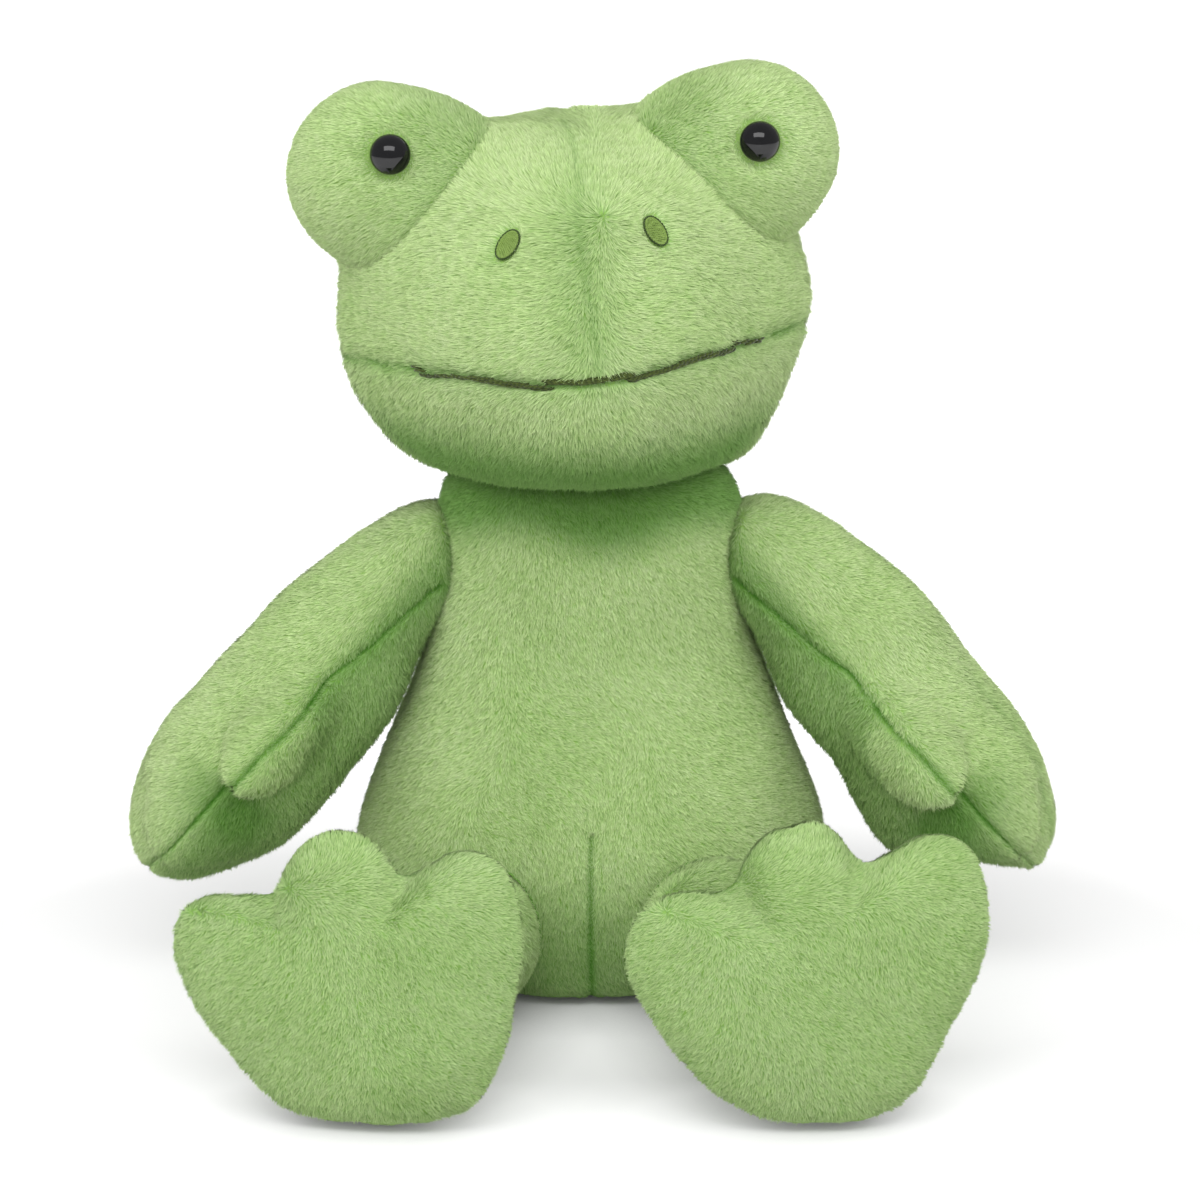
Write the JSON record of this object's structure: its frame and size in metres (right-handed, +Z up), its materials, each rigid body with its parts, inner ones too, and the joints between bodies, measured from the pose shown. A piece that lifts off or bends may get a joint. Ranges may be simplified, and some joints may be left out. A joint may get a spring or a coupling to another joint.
{
  "type": "plush frog",
  "caption": "Sitting plush frog with swelling stuffed body, head, eye mounds and limbs, plastic safety eyes, stitched mouth and nostrils, and sewn limbs that swing and turn.",
  "frame": {"origin": "middle of the flat underside of the seat, on the surface the frog sits on", "axes": "+Z up, the frog looks along -Y, its own left side is +X"},
  "size_m": [0.3144, 0.228, 0.311],
  "materials": {
    "plush_green": "short soft pile, mottled",
    "stuffing_white": "loose polyester fibre",
    "eye_black": "polished",
    "washer_white": "moulded",
    "nostril_thread": "satin stitch",
    "mouth_thread": "twisted thread",
    "seam_thread": "twisted thread"
  },
  "bodies": {
    "torso": {"torso_cover": "plush_green", "torso_stuffing": "stuffing_white", "back_closing_stitch": "seam_thread"},
    "neck_seam": {"neck_stitch": "seam_thread"},
    "head": {"head_cover": "plush_green", "head_stuffing": "stuffing_white", "mouth_stitch": "mouth_thread", "left_eye_mound_cover": "plush_green", "left_eye_mound_stuffing": "stuffing_white", "left_eye": "eye_black", "left_eye_washer": "washer_white", "left_nostril": "nostril_thread", "right_eye_mound_cover": "plush_green", "right_eye_mound_stuffing": "stuffing_white", "right_eye": "eye_black", "right_eye_washer": "washer_white", "right_nostril": "nostril_thread"},
    "left_shoulder_seam": {"left_shoulder_stitch": "seam_thread"},
    "left_arm": {"left_arm_cover": "plush_green", "left_arm_stuffing": "stuffing_white"},
    "left_hip_seam": {"left_hip_stitch": "seam_thread"},
    "left_leg": {"left_leg_cover": "plush_green", "left_leg_stuffing": "stuffing_white"},
    "left_foot": {"left_foot_upper": "plush_green", "left_foot_sole": "plush_green", "left_foot_stuffing": "stuffing_white"},
    "right_shoulder_seam": {"right_shoulder_stitch": "seam_thread"},
    "right_arm": {"right_arm_cover": "plush_green", "right_arm_stuffing": "stuffing_white"},
    "right_hip_seam": {"right_hip_stitch": "seam_thread"},
    "right_leg": {"right_leg_cover": "plush_green", "right_leg_stuffing": "stuffing_white"},
    "right_foot": {"right_foot_upper": "plush_green", "right_foot_sole": "plush_green", "right_foot_stuffing": "stuffing_white"}
  },
  "joints": [
    {"name": "head_nod", "type": "hinge", "parent": "torso", "child": "neck_seam", "pos_m": [0, -0.008, 0.16], "axis": [1, 0, 0], "range_deg": [-10, 10]},
    {"name": "head_turn", "type": "hinge", "parent": "neck_seam", "child": "head", "pos_m": [0, -0.008, 0.16], "axis": [0, 0, 1], "range_deg": [-35, 35]},
    {"name": "left_arm_swing", "type": "hinge", "parent": "torso", "child": "left_shoulder_seam", "pos_m": [0.05971, -0.00579, 0.14508], "axis": [-0.9781, 0, -0.2079], "range_deg": [-30, 90]},
    {"name": "left_arm_raise", "type": "hinge", "parent": "left_shoulder_seam", "child": "left_arm", "pos_m": [0.05971, -0.00579, 0.14508], "axis": [0, -1, 0], "range_deg": [0, 75]},
    {"name": "right_arm_swing", "type": "hinge", "parent": "torso", "child": "right_shoulder_seam", "pos_m": [-0.05971, -0.00579, 0.14508], "axis": [-0.9781, 0, 0.2079], "range_deg": [-30, 90]},
    {"name": "right_arm_raise", "type": "hinge", "parent": "right_shoulder_seam", "child": "right_arm", "pos_m": [-0.05971, -0.00579, 0.14508], "axis": [0, 1, 0], "range_deg": [0, 75]},
    {"name": "left_leg_turn", "type": "hinge", "parent": "torso", "child": "left_hip_seam", "pos_m": [0.0419, -0.06183, 0.029], "axis": [-0.3907, 0.9205, 0], "range_deg": [-15, 15]},
    {"name": "left_leg_lift", "type": "hinge", "parent": "left_hip_seam", "child": "left_leg", "pos_m": [0.0419, -0.06183, 0.029], "axis": [-0.9239, -0.3827, 0], "range_deg": [-30, 35]},
    {"name": "left_foot_flex", "type": "hinge", "parent": "left_leg", "child": "left_foot", "pos_m": [0.06601, -0.12004, 0.029], "axis": [0.9841, 0.1217, 0.1293], "range_deg": [-15, 18]},
    {"name": "right_leg_turn", "type": "hinge", "parent": "torso", "child": "right_hip_seam", "pos_m": [-0.0419, -0.06183, 0.029], "axis": [-0.3907, -0.9205, 0], "range_deg": [-15, 15]},
    {"name": "right_leg_lift", "type": "hinge", "parent": "right_hip_seam", "child": "right_leg", "pos_m": [-0.0419, -0.06183, 0.029], "axis": [-0.91, 0.4147, 0], "range_deg": [-30, 35]},
    {"name": "right_foot_flex", "type": "hinge", "parent": "right_leg", "child": "right_foot", "pos_m": [-0.06803, -0.11916, 0.029], "axis": [0.9805, -0.0776, 0.1805], "range_deg": [-15, 18]}
  ]
}
